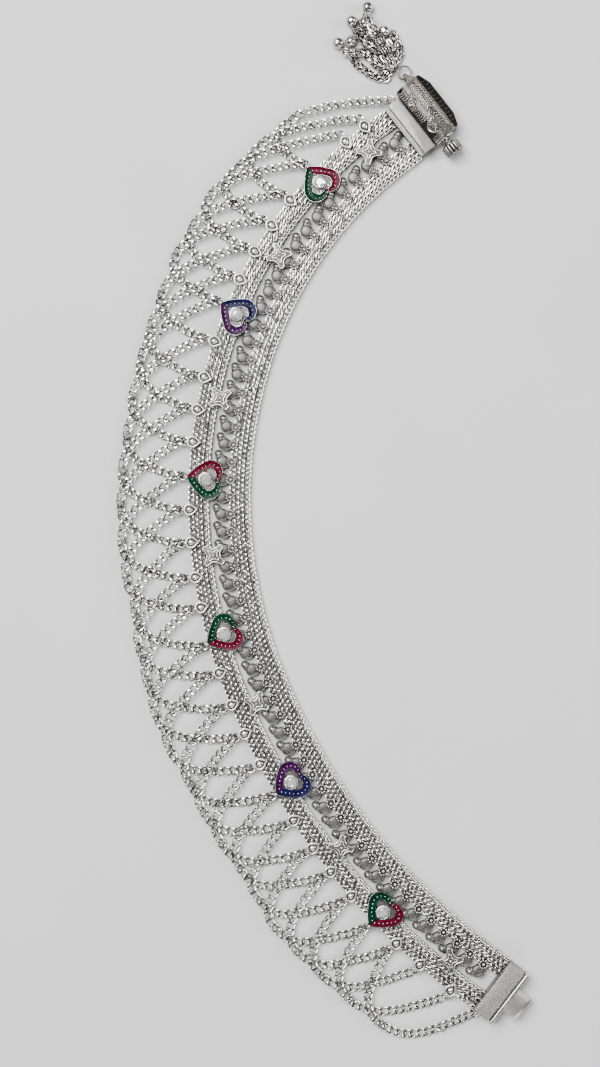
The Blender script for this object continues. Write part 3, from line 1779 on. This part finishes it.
@dataclass
class TongueCap:
    """The cap at the other end: a plate, a lip and a tongue of folded sheet."""

    layout: Layout
    cap_w: float = 4.6
    cap_h: float = 4.6
    lip: Pair = (2.7, 3.7)
    tongue_w: float = 6.5
    tongue_l: float = 4.8
    tongue_z: float = 3.0
    loop_r: float = 1.4
    sheet: float = 0.45
    sheet_soft: float = 0.12

    def tongue(self) -> Form:
        """Folds the sheet round the screw's path, from lip to lip.

        Returns:
            The tongue.
        """
        root = self.lip[1] - 0.4
        bend = self.lip[1] + self.tongue_l - self.loop_r
        mid = self.loop_r - self.sheet / 2
        rise = np.linspace(root, bend, 8)[:-1]
        fold = mid * ways_at(np.linspace(math.pi / 2, -math.pi / 2, 15)) + (bend, 0)
        there, back = (np.column_stack([rise, np.full(7, way * mid)]) for way in (1, -1))
        line = np.vstack([there, fold, back[::-1]])
        half, t, soft = self.tongue_w / 2, self.sheet / 2, self.sheet_soft
        section = [
            (-half, 0), (-half + soft * 0.3, -t * 0.7), (-half + soft, -t), (0, -t * 1.04),
            (half - soft, -t), (half - soft * 0.3, -t * 0.7), (half, 0),
            (half - soft * 0.3, t * 0.7), (half - soft, t), (0, t * 0.96), (-half + soft, t),
            (-half + soft * 0.3, t * 0.7),
        ]  # fmt: skip
        rings = [
            [(x, p[0] + n[0] * h, self.tongue_z + p[1] + n[1] * h) for x, h in section]
            for p, n in zip(line, normals(line))
        ]
        return skin(rings, start_cap=True, end_cap=True)

    def build(self) -> None:
        """Builds the satin plate, the bright lip and the smooth tongue."""
        at = self.layout.tail.place()
        half, back = self.layout.cap_l / 2, self.cap_w / 2
        plate = block((-half, half), (-back, back), (0.1, self.cap_h), 0.22)
        strip = block((-half + 0.5, half - 0.5), (back - 0.1, back + 0.6), (0.5, 3.8), 0.1)
        lip = block((-half - 0.2, half + 0.2), self.lip, (0.2, 4.8), 0.3)
        ear = ear_loop(self.layout.cap_ear_z)
        ear = ear.moved(half + self.layout.ear_off, self.layout.tail_ear_y)
        for name, form, finish in (
            ("tongue_plate", plate, SATIN_SILVER),
            ("tongue_lip", join([strip, lip, ear]), SMOOTH_SILVER),
            ("tongue_fold", self.tongue(), TONGUE_SILVER),
        ):
            make_piece(name, form.spread(at), finish, "tongue_cap")


@dataclass(frozen=True)
class ClaspFrame:
    """Frame of the clasp: +X along the screw, +Y the side that the slot opens to."""

    head: Cap
    slide: float = 0.8
    off: float = 5.0
    axis_z: float = 3.0
    lug_at: Triple = (-9.7, 2.0, 1.7)

    def place(self) -> np.ndarray:
        """Returns the clasp's place."""
        return self.head.place(-self.slide, self.off)

    def turned(self, form: Form, x: float) -> Form:
        """Lays a form turned about Z along the screw's axis, in the anklet's frame."""
        laid = Form(form.points[:, [2, 0, 1]], form.faces, form.pattern)
        return laid.moved(x, 0, self.axis_z).spread(self.place())


@dataclass
class Carving:
    """Relief of the clasp's upper side, drawn as soft ridges on its plan."""

    ridges: list[tuple[np.ndarray, float, float]] = field(default_factory=list)

    def line(self, points: Sequence[Sequence[float]], width: float, rise: float) -> None:
        """Adds a ridge along points of the plan."""
        self.ridges.append((np.array(points, float), width, rise))

    def row(
        self, count: int, start: float, step: float, shape: Sequence[Pair], width: float, rise: float
    ) -> None:
        """Adds a row of like ridges along the clasp.

        Args:
            count: How many there are.
            start: Where the first one is.
            step: How far it is from each to the next.
            shape: Points of one, along the clasp from there and across it.
            width: Their width.
            rise: Their height.
        """
        for k in range(count):
            self.line(np.array(shape) + (start + step * k, 0), width, rise)

    def arc(self, middle: Pair, r: float, turn: Pair, width: float, rise: float) -> None:
        """Adds a ridge along an arc, from one angle in degrees to another."""
        self.line(middle + r * ways_at(np.radians(np.linspace(*turn, 14))), width, rise)

    def height(self, x: np.ndarray, y: np.ndarray) -> np.ndarray:
        """Returns how far the relief rises at places of the plan.

        Args:
            x: Places along the clasp.
            y: Places across it.

        Returns:
            The rise at each in millimetres.
        """
        at = np.stack([x, y], -1)
        height = np.zeros(x.shape)
        for points, width, rise in self.ridges:
            gap = np.full(x.shape, 9.0)
            for a, b in zip(points[:-1], points[1:]):
                along = b - a
                f = np.clip(((at - a) @ along) / max(along @ along, 1e-9), 0, 1)
                gap = np.minimum(gap, np.linalg.norm(at - a - f[..., None] * along, axis=-1))
            height = np.maximum(height, rise * np.exp(-((gap / width) ** 2)))
        return height


@dataclass
class ClaspHousing:
    """The oxidised carved barrel with its slot, collar and lug.

    It narrows on the side that the slot opens to, from taper_from to its ends. lug_shown
    is the rise that the whole lug is finished as having, so that it stays bright.
    """

    layout: Layout
    clasp: ClaspFrame
    length: float = 16.6
    radius: float = 3.1
    flat: float = 2.75
    side_w: float = 5.6
    ridge_y: float = 3.2
    taper_from: float = 5.0
    end_w: float = 4.3
    # Rows of ribs, leaf veins and dots: how many, start, step, shape, width and rise
    rows: tuple[tuple[int, float, float, tuple[Pair, ...], float, float], ...] = (
        (9, -7.3, 0.66, ((0, -2.7), (0.3, -2.2), (0.15, -1.6)), 0.15, 0.24),
        (7, -2.1, 0.66, ((0, -2.5), (0.25, -1.9), (0.1, -1.3)), 0.13, 0.22),
        (10, -7.1, 0.74, ((0, 1.2), (0.35, 0.75), (0.85, 0.25)), 0.14, 0.27),
        (10, -7.1, 0.74, ((0, 1.3), (0.35, 1.75), (0.85, 2.15)), 0.14, 0.27),
        (5, 1.6, 0.8, ((0, 1.1), (0.5, 1.45), (0.75, 2.0)), 0.13, 0.24),
        (22, -7.3, 0.64, ((0, 2.6), (0.01, 2.6)), 0.19, 0.24),
        (12, -6.6, 1.12, ((0, 3.65), (0.5, 4.2), (0.35, 5.0)), 0.17, 0.065),
        (4, 8.15, -0.36, ((0, -2.7), (0, 3.1)), 0.12, 0.3),
    )
    # Middles of the scrolls and of the sunburst
    eyes: tuple[Pair, ...] = ((-3.6, -1.4), (2.45, -0.25))
    sun_at: Pair = (4.57, -0.42)
    rays: int = 9
    slot_half: float = 3.6
    slot_back: float = -1.6
    slot_z: Pair = (1.5, 4.5)
    bore_r: float = 0.87
    bore_from: float = -5.0
    collar_l: float = 2.0
    collar_r: float = 2.42
    ribs: int = 4
    lug_shown: float = 0.3

    def carving(self) -> Carving:
        """Draws the relief.

        Returns:
            The ribs, scrolls, leaf, dotted edge and sunburst.
        """
        art = Carving()
        for row in self.rows:
            art.row(*row)
        for x, y in self.eyes:
            art.arc((x, y), 0.82, (0, 360), 0.15, 0.34)
            art.line([(x, y), (x + 0.01, y)], 0.24, 0.34)
            art.line([(x - 0.8, y + 0.1), (x - 1.35, y + 0.75), (x - 1.7, y + 0.95)], 0.15, 0.3)
        art.line([(-7.2, 1.25), (0.9, 1.25)], 0.1, 0.2)
        for way in ways_at(np.radians(-175 + 24 * np.arange(self.rays))):
            art.line([self.sun_at + 0.55 * way, self.sun_at + 1.5 * way], 0.11, 0.25)
        art.arc(self.sun_at, 1.85, (-190, 20), 0.13, 0.26)
        art.line([(-8.1, 3.12), (7.2, 3.12)], 0.14, 0.26)
        return art

    def section(self) -> np.ndarray:
        """Draws the barrel's section.

        Returns:
            The section, across and up, against the screw's way.
        """
        top = np.array([0, self.radius + 0.1])
        edge = math.acos(self.flat / self.radius)
        low_z, high_z = self.slot_z
        flat = np.linspace(0.12, self.ridge_y, 24)
        slope = np.linspace(self.ridge_y + 0.15, self.side_w - 0.1, 14)
        parts = [
            top + self.radius * ways_at(np.linspace(math.pi - edge, math.pi / 2, 30)),
            np.column_stack([flat, 6.3 - 0.0625 * flat]),
            np.column_stack([slope, 6.1 - 0.5 * (slope - self.ridge_y)]),
            np.array([(self.side_w, z) for z in (4.8, high_z, self.clasp.axis_z, low_z, 0.3)]),
            np.array([(self.side_w - 0.15, 0.1), (2.7, 0.1)]),
            top + self.radius * ways_at(np.linspace(1.5 * math.pi, math.pi + edge, 8)),
        ]
        return np.vstack(parts)

    def narrowed(self, rings: np.ndarray) -> np.ndarray:
        """Draws the barrel in on the slot's side towards its ends.

        Args:
            rings: The barrel's rings.

        Returns:
            The narrower rings.
        """
        x, y, z = np.moveaxis(rings, -1, 0)
        past = np.clip((np.abs(x) - self.taper_from) / (self.length / 2 - self.taper_from), 0, 1)
        limit = self.side_w - (self.side_w - self.end_w) * past
        part = np.clip((y - self.ridge_y) / (self.side_w - self.ridge_y), 0, 1)
        drawn_in = part * (self.side_w - limit)
        lifted = np.where(z > self.slot_z[1] + 0.1, 0.5 * drawn_in, 0)
        return np.stack([x, y - drawn_in, z + lifted], -1)

    def shell(self) -> Form:
        """Builds the carved outside.

        Returns:
            The outside, open where the slot is.
        """
        section = self.section()
        half, s = self.length / 2, self.slot_half
        x = np.unique(
            np.round(np.concatenate([np.arange(-half + 0.1, half - 0.05, 0.09), [-s, s]]), 4)
        )
        grid_x, grid_y = np.meshgrid(x, section[:, 0], indexing="ij")
        rings = np.stack([grid_x, grid_y, np.broadcast_to(section[:, 1], grid_x.shape)], -1)
        normal = normals(section)
        rise = self.carving().height(grid_x, grid_y)
        ends = np.clip((half - np.abs(grid_x)) / 0.25, 0, 1)
        rise *= ends * np.clip(normal[:, 1] * 2.5, 0, 1)
        rings[..., 1:] += rise[..., None] * normal
        rings = self.narrowed(rings)
        middle = np.array([0, 1.0, self.clasp.axis_z])
        caps = middle + (rings[[0, -1]] - middle) * np.array([1, 0.97, 0.97])
        caps[..., 0] = [[-half], [half]]
        rings = np.concatenate([caps[:1], rings, caps[1:]])[:, ::-1]
        rise = np.vstack([rise[:1], rise, rise[-1:]])[:, ::-1]
        form = skin(rings, start_cap=True, end_cap=True).risen(rise.ravel())
        across, out, up = np.moveaxis(form.points[form.faces[0]], -1, 0)
        (low_z, high_z), slack = self.slot_z, 0.01
        over_slot = (
            (np.abs(across).max(1) < s + slack)
            & (out.min(1) > self.side_w - slack)
            & (up.min(1) > low_z - slack)
            & (up.max(1) < high_z + slack)
        )
        form.faces[0] = form.faces[0][~over_slot]
        return form

    def pocket(self) -> Form:
        """Builds the walls of the slot and of the bore.

        Returns:
            The walls.
        """
        s, (low, high), axis = self.slot_half, self.slot_z, self.clasp.axis_z
        y0, y1 = self.slot_back, self.side_w
        across, up = ways_at(turns_of(24)).T
        hole = np.column_stack([self.bore_r * across, axis + self.bore_r * up])
        box_y = np.clip(3.2 * across, y0, 3.2)
        box = np.column_stack(
            [np.where(box_y > 1.7, y1, box_y), np.clip(axis + 3 * up, low, high)]
        )
        forms = []
        for x, bore_end in ((s, self.length / 2), (-s, self.bore_from)):
            rings = [np.insert(line, 0, at, axis=1) for at, line in ((x, box), (x, hole), (bore_end, hole))]
            forms.append(skin(rings, end_cap=bore_end < 0))
        floor, roof = ([(-s, y0, z), (s, y0, z), (s, y1, z), (-s, y1, z)] for z in (low, high))
        back = [(-s, y0, low), (s, y0, low), (s, y0, high), (-s, y0, high)]
        for wall in (floor, roof, back):
            forms.append(Form(np.array(wall), [np.array([[0, 1, 2, 3]])]))
        return join(forms)

    def collar(self) -> Form:
        """Turns the ribbed bright collar, round the Z axis and from its own foot.

        Returns:
            The collar.
        """
        r, long, steps = self.collar_r, self.collar_l + 0.4, self.ribs * 6
        profile = [(2.2, -0.1), (r, 0)]
        for k in range(steps + 1):
            profile.append((r + 0.16 * abs(math.sin(math.pi * k / 6)), 0.08 + long * k / steps))
        profile += [(2.3, long + 0.1), (1.2, long + 0.1), (self.bore_r, long), (self.bore_r, 0)]
        return lathe(profile, 48, caps=False)

    def lug(self) -> Form:
        """Builds the lug that holds the ring and the ridged leaf over it, all bright.

        Returns:
            The lug and the leaf.
        """
        x, y, z = self.clasp.lug_at
        profile = [(0.8, -0.5), (1.4, -0.5), (1.46, -0.4), (1.46, 0.4), (1.4, 0.5), (0.8, 0.5), (0.8, -0.5)]
        wheel = [
            np.insert(r * ways_at(-turns_of(28)), 1, side, axis=1) + (x, y, z) for r, side in profile
        ]
        forms = [skin(wheel), block((x + 0.9, x + 1.9), (y - 0.5, y + 0.5), (0.6, 3.0), 0.15)]
        # How far along, across and up each point of a ridge of the leaf is, and its width
        ridge = np.array(
            [
                (-1.35, 0.25, 0.6, 0.3), (-0.7, 0.35, 1.4, 0.4), (0.2, 0.55, 2.4, 0.5),
                (1.0, 0.85, 3.6, 0.6), (1.6, 1.05, 4.5, 0.5), (2.2, 1.1, 4.62, 0.2),
            ]
        )  # fmt: skip
        for side in (-1, -0.33, 0.33, 1):
            path = ridge[:, :3] * (1, side, 1) + (x, y, z)
            forms.append(tube(path, ridge[:, 3], 0.5, 8))
        return join(forms).risen(self.lug_shown)

    def build(self) -> None:
        """Builds the carved housing and its bright collar."""
        housing = join([self.shell(), self.pocket(), self.lug()]).spread(self.clasp.place())
        collar = self.clasp.turned(self.collar(), self.length / 2 - self.collar_l)
        node = "clasp_housing"
        make_piece("clasp_carved", housing, CARVED_SILVER, node, Slot.DARK, crease=50)
        make_piece("clasp_collar", collar, CAST_SILVER, node, Slot.DARK, crease=50)


@dataclass
class Screw:
    """The threaded shaft and its straight-knurled knob on a ribbed hub."""

    clasp: ClaspFrame
    start: float = -4.6
    end: float = 9.35
    radius: float = 0.8
    thread_depth: float = 0.15
    lead: float = 0.9
    point_l: float = 0.5
    hub_from: float = 9.4
    hub: tuple[Pair, ...] = ((1.3, 0), (1.5, 0.12), (1.5, 0.5), (1.38, 0.7), (1.5, 0.9), (1.5, 1.1))
    knob_from: float = 10.4
    knob_d: float = 4.9
    knob_l: float = 3.1
    knurls: int = 14
    groove: float = 0.4

    def shaft(self) -> Form:
        """Cuts the shaft, round the Z axis and from its own foot.

        Returns:
            The shaft.
        """
        z = np.linspace(0, self.end - self.start, 170)
        t = turns_of(20)
        turn = (z[:, None] / self.lead - t[None] / TAU) % 1
        cut = np.abs(2 * turn - 1) * self.thread_depth
        radii = (self.radius - cut) * np.clip(z / self.point_l, 0.6, 1)[:, None]
        return skin([ring(r, t, at) for r, at in zip(radii, z)], start_cap=True, end_cap=True)

    def knob(self) -> Form:
        """Cuts the knob, round the Z axis and from its own foot.

        Returns:
            The knob.
        """
        r, long = self.knob_d / 2, self.knob_l
        t = turns_of(self.knurls * 8)
        ridge = self.groove * np.abs(np.sin(t * self.knurls / 2)) ** 0.6
        # Radius and height of each level, and whether it is knurled
        levels = [
            (r - 0.55, 0.0, False), (r - 0.3, 0.08, False), (r - 0.12, 0.25, True),
            (r - 0.04, 0.45, True), (r - 0.04, long - 0.5, True), (r - 0.14, long - 0.28, True),
            (r - 0.4, long - 0.1, False), (r - 0.75, long - 0.06, False),
            (r - 0.9, long - 0.2, False), (0.8, long - 0.16, False), (0.2, long, False),
        ]  # fmt: skip
        rings, rise = [], []
        for radius, z, knurled in levels:
            rings.append(ring(radius - knurled * (self.groove - ridge), t, z))
            rise.append(ridge if knurled else np.full(len(t), self.groove))
        return skin(rings, start_cap=True, end_cap=True).risen(np.ravel(rise))

    def build(self) -> None:
        """Builds the shaft and the knob."""
        shaft = self.clasp.turned(self.shaft(), self.start)
        make_piece("screw_thread", shaft, SMOOTH_SILVER, "screw_shaft", body=Body.SHAFT)
        hub = self.clasp.turned(lathe(self.hub, 32).risen(self.groove), self.hub_from)
        knob = join([self.clasp.turned(self.knob(), self.knob_from), hub])
        make_piece("screw_knob_knurled", knob, KNURLED_SILVER, "screw_knob", body=Body.KNOB)


@dataclass
class Tassel:
    """The ring, its strands of cable chain and the bells on their ends."""

    clasp: ClaspFrame
    ring_r: float = 1.75
    ring_wire: float = 0.5
    ring_turn: float = 165
    head: Triple = (-9.7, 119.95, 1.6)
    # Tilt of each ring that the strands are gathered on, in degrees
    gathers: tuple[float, ...] = (70, 100, 55)
    bell_d: float = 3.1
    bells: tuple[Pair, ...] = (
        (-20.6, 126.7), (-23.9, 126.2), (-20.4, 131.9), (-17.2, 131.6), (-16.3, 135.5),
        (-12, 129.3), (-15.3, 128.6),
    )  # fmt: skip
    # Course of each lock of fine chain from inside the head to just short of its bell
    locks: tuple[tuple[Triple, ...], ...] = (
        ((-9.7, 119.9, 1.2), (-12, 116.9, 0.8), (-15.5, 118.2, 0.8), (-18.8, 120.6, 0.8),
         (-20.6, 123.2, 1), (-20.7, 124.7, 1.4)),
        ((-9.7, 119.9, 1.2), (-13.5, 121.5, 0.9), (-17, 123.8, 0.8), (-19.8, 123.5, 2.6),
         (-22.6, 123.9, 1.6)),
        ((-9.7, 119.9, 2), (-13.2, 122.8, 1.2), (-16.4, 125.6, 0.8), (-18.4, 128.4, 0.8),
         (-19.6, 130, 1.4)),
        ((-9.7, 119.9, 2), (-12.4, 123.2, 2), (-15.6, 125.4, 2.4), (-18, 127.6, 1.8),
         (-17.6, 129.5, 1.6)),
        ((-9.7, 119.9, 2.4), (-11.6, 123.8, 3), (-13.8, 127.4, 4), (-15.6, 130.6, 4.2),
         (-16.6, 132.6, 3.9), (-16.5, 133.5, 2.9)),
        ((-9.7, 119.9, 1.6), (-7.8, 123.4, 0.8), (-8.4, 126.4, 0.8), (-9.3, 128.2, 1),
         (-10.1, 128.7, 1.4)),
        ((-9.7, 119.9, 1.2), (-10.8, 122.8, 0.8), (-12.6, 125.2, 0.8), (-14, 126.8, 1.2)),
        ((-9.7, 119.9, 1.2), (-12.4, 119.4, 0.8), (-15, 121.6, 0.8), (-17.6, 124.8, 0.9)),
        ((-9.7, 119.9, 1.6), (-9.5, 122.6, 1.4), (-10.4, 125.2, 1.4), (-11.5, 126.5, 1.4)),
    )  # fmt: skip
    pitch: float = 1.4
    # How far the strands of a lock lie from its middle, and how low they lie
    beside: Triple = (-0.62, 0, 0.62)
    lowest: float = 0.65
    link: Link = Link(0.95, 0.48, 0.0, 0.42, 0.42, steps=14, sides=6)
    seed: int = 31

    def strands(self) -> Form:
        """Links the strands, three side by side in each lock.

        Returns:
            The strands.
        """
        rng = np.random.default_rng(self.seed)
        forms = []
        for lock in self.locks:
            knots = np.array(lock)
            t = np.linspace(0, len(knots) - 1, 60)
            path = np.column_stack([np.interp(t, np.arange(len(knots)), c) for c in knots.T])
            for _ in range(3):
                path[1:-1] = (path[:-2] + 2 * path[1:-1] + path[2:]) / 4
            level, _ = across_and_above(np.gradient(path, axis=0))
            for side in self.beside:
                middles, ways = along_path(path + side * level, self.pitch)
                count = len(middles)
                rolls = np.arange(count) * math.pi / 2 + rng.normal(0.5, 0.3, count)
                middles = middles + rng.normal(0, 0.06, (count, 3)) * np.array([1, 1, 0])
                middles[:, 2] = np.maximum(middles[:, 2], self.lowest)
                forms.append(self.link.form().spread(link_places(middles, ways, rolls)))
        return join(forms)

    def gather(self) -> Form:
        """Bends the rings that the strands are gathered on.

        Returns:
            The rings.
        """
        wire = tube(ring(0.95, turns_of(20), 0), 0.3, 0.3, 6, loop=True)
        places = [place(self.head, 50 * k + 20, 1, tilt) for k, tilt in enumerate(self.gathers)]
        return join([wire.spread(at) for at in places])

    def bell(self) -> Form:
        """Turns one faintly fluted bell round the origin.

        Returns:
            The bell, with a seam round its middle.
        """
        t = turns_of(36)
        rings = []
        for tilt in np.linspace(-0.46 * math.pi, 0.46 * math.pi, 13):
            flute = 1 - 0.05 * math.cos(tilt) * (0.5 + 0.5 * np.cos(9 * t))
            band = 1.0 - 0.05 * math.exp(-((tilt / 0.12) ** 2))
            r = self.bell_d / 2
            rings.append(ring(r * math.cos(tilt) * flute * band, t, r * math.sin(tilt)))
        return skin(rings, start_cap=True, end_cap=True)

    def build(self) -> None:
        """Builds the ring, the strands and the bells."""
        turn = math.radians(self.ring_turn)
        at = np.array(self.clasp.lug_at)
        at = at + self.ring_r * np.array([math.cos(turn), math.sin(turn), 0])
        wire = self.ring_wire
        loop = tube(ring(self.ring_r, turns_of(40), 0), wire, wire, 10, loop=True).moved(*at)
        loop = loop.spread(self.clasp.place())
        make_piece("jump_ring_wire", loop, STEEL_WIRE, "jump_ring", Slot.DARK)
        strands = join([self.strands(), self.gather()])
        make_piece("tassel_strands", strands, CHAIN_SILVER, "tassel_chains", crease=60)
        rng = np.random.default_rng(self.seed)
        places = [
            place((x, y, self.bell_d / 2), rng.uniform(0, 360), 1, rng.uniform(60, 100))
            for x, y in self.bells
        ]
        bells = self.bell().spread(places)
        make_piece("tassel_bells_fluted", bells, CAST_SILVER, "tassel_bells", crease=60)


@dataclass
class Studio:
    """The floor, the soft lights and the camera over the anklet."""

    camera_over: Pair = (-33.8, -0.91)
    camera_height: float = 500
    frame_height: float = 277.4
    sensor: float = 36
    # Name, place and size in metres, and watts of each panel of light
    lights: tuple[tuple[str, Triple, Pair, float], ...] = (
        ("key", (-0.32, 0.3, 0.8), (0.6, 0.6), 18),
        ("right strip", (0.75, 0.15, 0.45), (0.1, 0.7), 6),
        ("lower strip", (0.15, -0.85, 0.5), (0.7, 0.1), 4),
    )
    # Place that they face, in metres
    lit_at: Triple = (-0.02, 0, 0)
    air: tuple[float, float, float, float] = (0.95, 0.97, 1.0, 1)
    air_light: float = 0.07
    # Half the floor's width, in metres
    floor_reach: float = 3.0

    def add(self, name: str, data: bpy.types.ID) -> bpy.types.Object:
        """Adds an object to the scene.

        Args:
            name: The object's name.
            data: Its mesh, light or camera.

        Returns:
            The object.
        """
        made = bpy.data.objects.new(name, data)
        bpy.context.scene.collection.objects.link(made)
        return made

    def camera(self) -> None:
        """Sets the camera straight above the middle of the photograph."""
        data = bpy.data.cameras.new("camera")
        data.sensor_width = self.sensor
        data.lens = self.sensor * self.camera_height / self.frame_height
        data.clip_start, data.clip_end = 0.01, 20
        camera = self.add("camera", data)
        camera.location = (*(MM * c for c in self.camera_over), MM * self.camera_height)
        bpy.context.scene.camera = camera

    def light(self, name: str, at: Triple, size: Pair, watts: float) -> None:
        """Adds a soft panel of light that faces the anklet.

        Args:
            name: The light's name.
            at: Where it is, in metres.
            size: Its width and height, in metres.
            watts: How strong it is.
        """
        data = bpy.data.lights.new(name, "AREA")
        data.shape = "RECTANGLE"
        data.size, data.size_y = size
        data.energy = watts
        light = self.add(name, data)
        light.location = at
        light.rotation_mode = "QUATERNION"
        way = Vector(np.array(self.lit_at) - np.array(at))
        light.rotation_quaternion = way.to_track_quat("-Z", "Y")

    def build(self) -> None:
        """Builds the studio."""
        self.camera()
        for light in self.lights:
            self.light(*light)
        world = bpy.data.worlds.new("studio")
        world.use_nodes = True
        back = world.node_tree.nodes["Background"]
        back.inputs["Color"].default_value = self.air
        back.inputs["Strength"].default_value = self.air_light
        bpy.context.scene.world = world
        r = self.floor_reach
        mesh = bpy.data.meshes.new("floor")
        mesh.from_pydata([(-r, -r, 0), (r, -r, 0), (r, r, 0), (-r, r, 0)], [], [(0, 1, 2, 3)])
        mesh.materials.append(Paper("pale floor").material())
        self.add("floor", mesh)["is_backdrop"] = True


def save_sizes() -> None:
    boxes = {"cad": CAD_BOX, "visual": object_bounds()}
    plain = {name: [list(corner) for corner in box] for name, box in boxes.items()}


def main() -> None:
    """Builds the studio and then the anklet, sub-assembly by sub-assembly."""
    logging.basicConfig(level=logging.INFO, format="%(message)s")
    Studio().build()
    layout = Layout()
    clasp = ClaspFrame(layout.head)
    WovenBand(layout, "inner_band", 0, layout.inner_w).build()
    WovenBand(layout, "outer_band", layout.outer_d, layout.outer_w, seed=4).build()
    Swags(layout).build()
    PaisleyRow(layout).build()
    DropStuds(layout).build()
    BowMotifs(layout).build()
    Hearts(layout).build()
    HeadCap(layout).build()
    TongueCap(layout).build()
    ClaspHousing(layout, clasp).build()
    Screw(clasp).build()
    Tassel(clasp).build()
    save_sizes()


if __name__ == "__main__":
    main()
